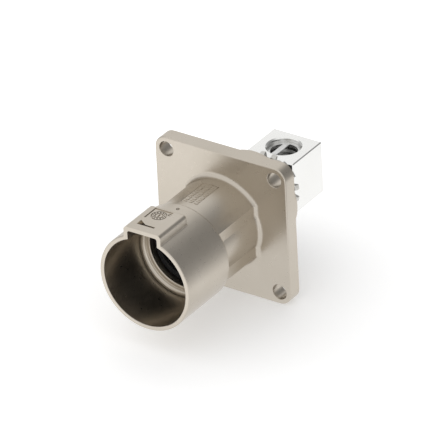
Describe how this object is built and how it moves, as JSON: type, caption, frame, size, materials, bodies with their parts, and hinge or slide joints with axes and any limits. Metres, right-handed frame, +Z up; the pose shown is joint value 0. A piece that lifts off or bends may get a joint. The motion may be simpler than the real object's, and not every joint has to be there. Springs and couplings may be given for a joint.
{
  "type": "busbar power connector",
  "caption": "Panel-mounted single-pole high-current header with a square flange, keyed round metal shroud, recessed contact pin and a square busbar block with a tapped bore.",
  "frame": {"origin": "centre of the flange's rear (mounting) face, on the connector's axis", "axes": "+Y along the connector's axis towards the busbar block, the mating mouth faces -Y, +Z up through the polarising key, +X to the right seen from the mouth"},
  "size_m": [0.05, 0.0895, 0.05],
  "materials": {
    "nickel_casting": "satin nickel plate on a die casting",
    "silver_plate": "polished silver plate on copper alloy",
    "black_insulator": "matt black moulded plastic",
    "spring_steel": "nickel-plated spring steel",
    "stainless_wire": "drawn stainless wire",
    "seal_rubber": "matt elastomer"
  },
  "bodies": {
    "root": {"housing": "nickel_casting", "front_insulator": "black_insulator", "rear_insulator": "black_insulator", "contact_pin": "silver_plate", "pin_guard_cap": "black_insulator", "terminal_block": "silver_plate", "tooth_lock_washer": "spring_steel", "thread_insert": "stainless_wire", "flange_seal": "seal_rubber", "insulator_seal": "seal_rubber", "pin_seal": "seal_rubber", "retaining_ring": "spring_steel"}
  },
  "joints": []
}
